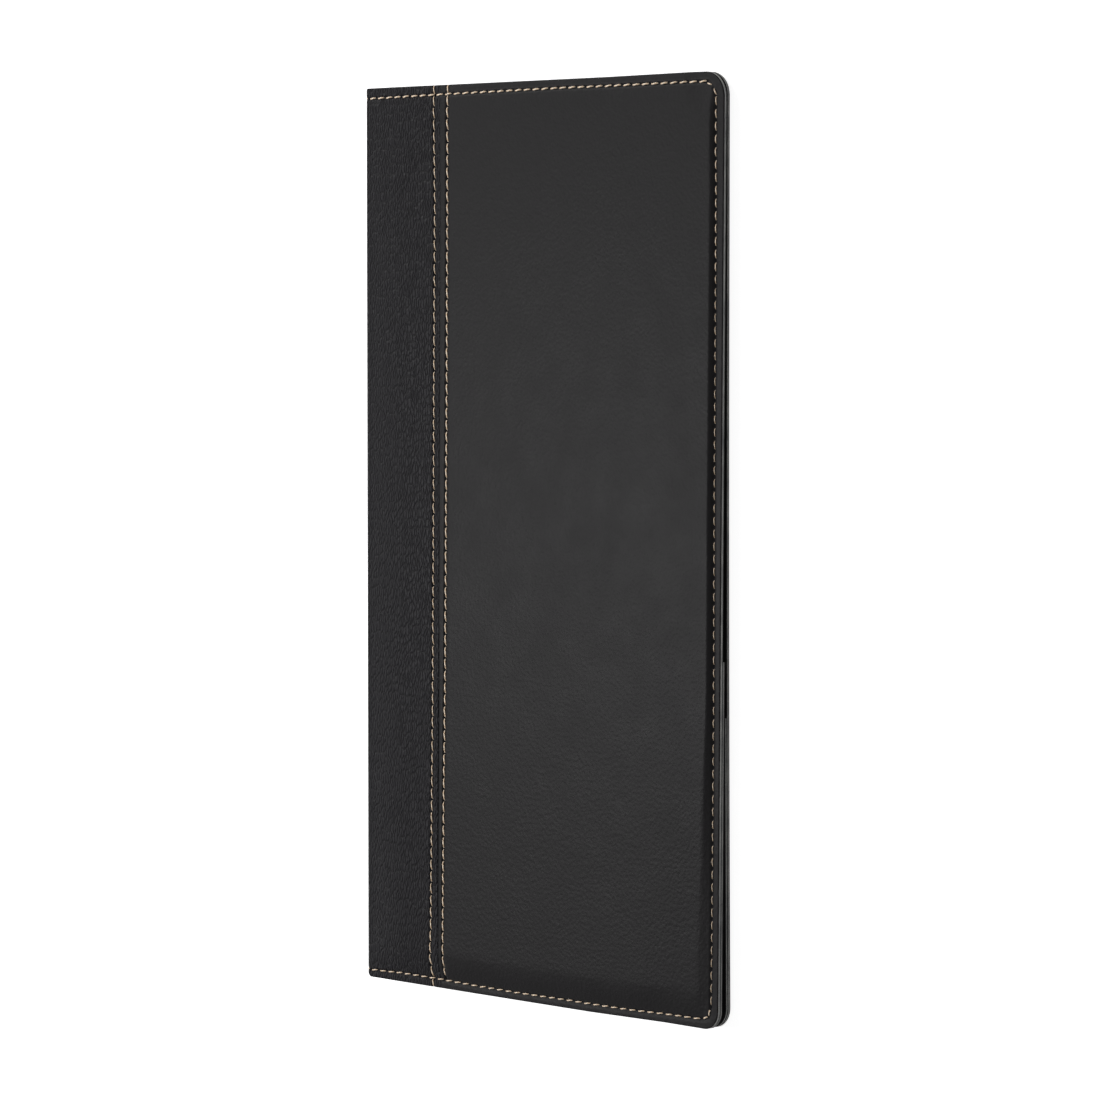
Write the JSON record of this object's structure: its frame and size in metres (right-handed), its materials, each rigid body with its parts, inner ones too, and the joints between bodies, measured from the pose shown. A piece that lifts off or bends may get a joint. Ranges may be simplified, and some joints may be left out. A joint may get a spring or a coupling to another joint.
{
  "type": "guest check presenter",
  "caption": "Tall folding guest check presenter in black stitched leatherette: padded covers, a grained spine band and a bill pocket inside each cover.",
  "frame": {"origin": "under the middle of the closed presenter, on the surface that it lies on", "axes": "+X from the spine towards the free edges, +Y up the page, +Z out of the front cover"},
  "size_m": [0.14, 0.254, 0.006],
  "materials": {
    "smooth_leatherette": "smooth embossed PU leatherette, satin",
    "grained_leatherette": "fine lizard-grain PU leatherette, satin",
    "foam": "open-cell sponge sheet",
    "greyboard": "uncoated greyboard",
    "lining": "thin matte PU lining",
    "pocket": "thin matte PU lining with cut edges",
    "thread": "twisted polyester upholstery thread, slight sheen"
  },
  "bodies": {
    "back_cover": {"back_panel": "smooth_leatherette", "back_band": "grained_leatherette", "back_foam": "foam", "back_board": "greyboard", "back_lining": "lining", "back_pocket": "pocket", "back_edge_thread": "thread", "back_band_thread": "thread", "back_panel_thread": "thread"},
    "spine": {"spine_band": "grained_leatherette", "spine_lining": "lining"},
    "front_cover": {"front_panel": "smooth_leatherette", "front_band": "grained_leatherette", "front_foam": "foam", "front_board": "greyboard", "front_lining": "lining", "front_pocket": "pocket", "front_edge_thread": "thread", "front_band_thread": "thread", "front_panel_thread": "thread"}
  },
  "joints": [
    {"name": "back_fold", "type": "hinge", "parent": "back_cover", "child": "spine", "pos_m": [-0.06953, 0, 0.00127], "axis": [0, -1, 0], "range_deg": [0, 90], "deforming": ["spine_band", "spine_lining"]},
    {"name": "front_fold", "type": "hinge", "parent": "spine", "child": "front_cover", "pos_m": [-0.06953, 0, 0.00473], "axis": [0, -1, 0], "range_deg": [0, 90], "deforming": ["spine_band", "spine_lining"]}
  ],
  "couplings": [
    {"joint": "front_fold", "follows": "back_fold", "ratio": 1}
  ]
}
